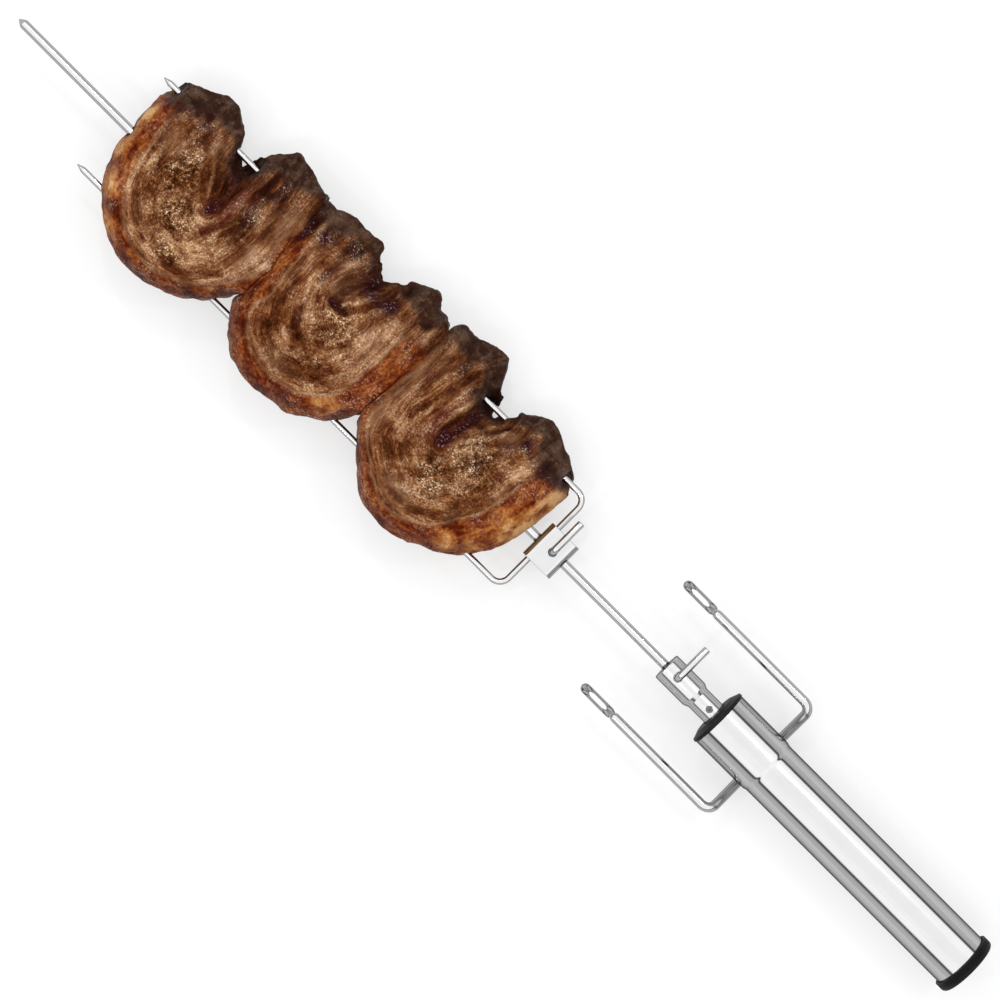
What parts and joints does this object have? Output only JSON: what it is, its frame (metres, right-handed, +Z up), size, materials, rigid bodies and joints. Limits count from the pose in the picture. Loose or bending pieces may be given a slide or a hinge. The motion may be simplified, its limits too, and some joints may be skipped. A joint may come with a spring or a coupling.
{
  "type": "rotisserie spit roaster",
  "caption": "Battery rotisserie spit: a steel tube handle with a geared motor turns a long spit with a sliding tined fork and folded roast meat; a wire support frame hinges under it.",
  "frame": {"origin": "on the spit axis at the centre of the rear cap's flat end", "axes": "+X along the spit axis towards its tip, +Z up with the clamp screws on top, +Y to the left seen from the handle"},
  "size_m": [0.8696, 0.1358, 0.0569],
  "materials": {
    "tube_steel": "polished",
    "rod_steel": "polished",
    "turned_steel": "satin",
    "plate_steel": "satin",
    "motor_steel": "satin",
    "dark_steel": "satin",
    "black_plastic": "satin",
    "grey_plastic": "satin",
    "red_lead": "satin",
    "black_lead": "satin",
    "brass": "satin",
    "gear_brass": "satin",
    "bronze": "satin",
    "cell_jacket": "satin",
    "roast_meat": "satin"
  },
  "bodies": {
    "handle": {"handle_tube": "tube_steel", "front_cap": "black_plastic", "battery_sleeve": "grey_plastic", "battery_bulkhead": "grey_plastic", "positive_contact": "brass", "motor_can": "motor_steel", "positive_lead": "red_lead", "negative_lead": "black_lead", "gearbox_rear_plate": "plate_steel", "gearbox_front_plate": "plate_steel", "gearbox_post_1": "brass", "gearbox_post_2": "brass", "gearbox_post_3": "brass", "gearbox_post_4": "brass", "gearbox_screw_1": "plate_steel", "gearbox_screw_2": "plate_steel", "gearbox_screw_3": "plate_steel", "gearbox_screw_4": "plate_steel", "motor_screw_1": "plate_steel", "motor_screw_2": "plate_steel", "layshaft_pin": "plate_steel", "battery_1": "cell_jacket", "battery_2": "cell_jacket", "frame_strap": "turned_steel", "strap_rivet_1": "turned_steel", "strap_rivet_2": "turned_steel", "shaft_bearing": "bronze", "front_bush": "bronze"},
    "cap_carrier": {"cap_contact": "brass", "battery_spring": "rod_steel"},
    "rear_cap": {"rear_cap": "black_plastic"},
    "motor_rotor": {"motor_pinion": "plate_steel"},
    "first_gear": {"gear_1": "gear_brass"},
    "second_gear": {"gear_2": "gear_brass"},
    "third_gear": {"gear_3": "gear_brass"},
    "drive": {"output_gear": "gear_brass", "output_shaft": "rod_steel", "coupling": "turned_steel", "set_screw": "dark_steel"},
    "coupling_screw": {"coupling_screw": "rod_steel"},
    "spit": {"spit_rod": "rod_steel", "meat_slice_tip": "roast_meat", "meat_slice_middle": "roast_meat", "meat_slice_rear": "roast_meat"},
    "fork": {"fork_clamp": "turned_steel", "tine_left": "rod_steel", "tine_right": "rod_steel"},
    "clamp_screw": {"clamp_screw": "rod_steel"},
    "support_frame": {"support_frame": "rod_steel"}
  },
  "joints": [
    {"name": "spit_turn", "type": "hinge", "parent": "handle", "child": "drive", "pos_m": [0.2, 0, 0], "axis": [1, 0, 0], "continuous": true},
    {"name": "motor_turn", "type": "hinge", "parent": "handle", "child": "motor_rotor", "pos_m": [0.17, 0, 0], "axis": [1, 0, 0], "continuous": true},
    {"name": "gear_1_turn", "type": "hinge", "parent": "handle", "child": "first_gear", "pos_m": [0.177, 0, 0.009], "axis": [1, 0, 0], "continuous": true},
    {"name": "gear_2_turn", "type": "hinge", "parent": "handle", "child": "second_gear", "pos_m": [0.182, 0, 0], "axis": [1, 0, 0], "continuous": true},
    {"name": "gear_3_turn", "type": "hinge", "parent": "handle", "child": "third_gear", "pos_m": [0.186, 0, 0.009], "axis": [1, 0, 0], "continuous": true},
    {"name": "cap_slide", "type": "slide", "parent": "handle", "child": "cap_carrier", "axis": [1, 0, 0], "range_m": [-0.006, 0]},
    {"name": "cap_turn", "type": "hinge", "parent": "cap_carrier", "child": "rear_cap", "pos_m": [0, 0, 0], "axis": [1, 0, 0], "range_deg": [-540, 0]},
    {"name": "coupling_screw_turn", "type": "hinge", "parent": "drive", "child": "coupling_screw", "pos_m": [0.2666, 0, 0.01], "axis": [0, 0, 1], "range_deg": [0, 270]},
    {"name": "spit_pull", "type": "slide", "parent": "drive", "child": "spit", "axis": [1, 0, 0], "range_m": [0, 0.023]},
    {"name": "fork_slide", "type": "slide", "parent": "spit", "child": "fork", "axis": [1, 0, 0], "range_m": [-0.08, 0]},
    {"name": "clamp_screw_turn", "type": "hinge", "parent": "fork", "child": "clamp_screw", "pos_m": [0.3811, 0, 0.01], "axis": [0, 0, 1], "range_deg": [-180, 30]},
    {"name": "frame_swing", "type": "hinge", "parent": "handle", "child": "support_frame", "pos_m": [0.1881, 0, -0.0245], "axis": [0, 1, 0], "range_deg": [0, 90]}
  ],
  "couplings": [
    {"joint": "gear_3_turn", "follows": "spit_turn", "ratio": -4},
    {"joint": "gear_2_turn", "follows": "spit_turn", "ratio": 16},
    {"joint": "gear_1_turn", "follows": "spit_turn", "ratio": -64},
    {"joint": "motor_turn", "follows": "spit_turn", "ratio": 256},
    {"joint": "cap_slide", "follows": "cap_turn", "m_per_rad": 0.00063662}
  ]
}
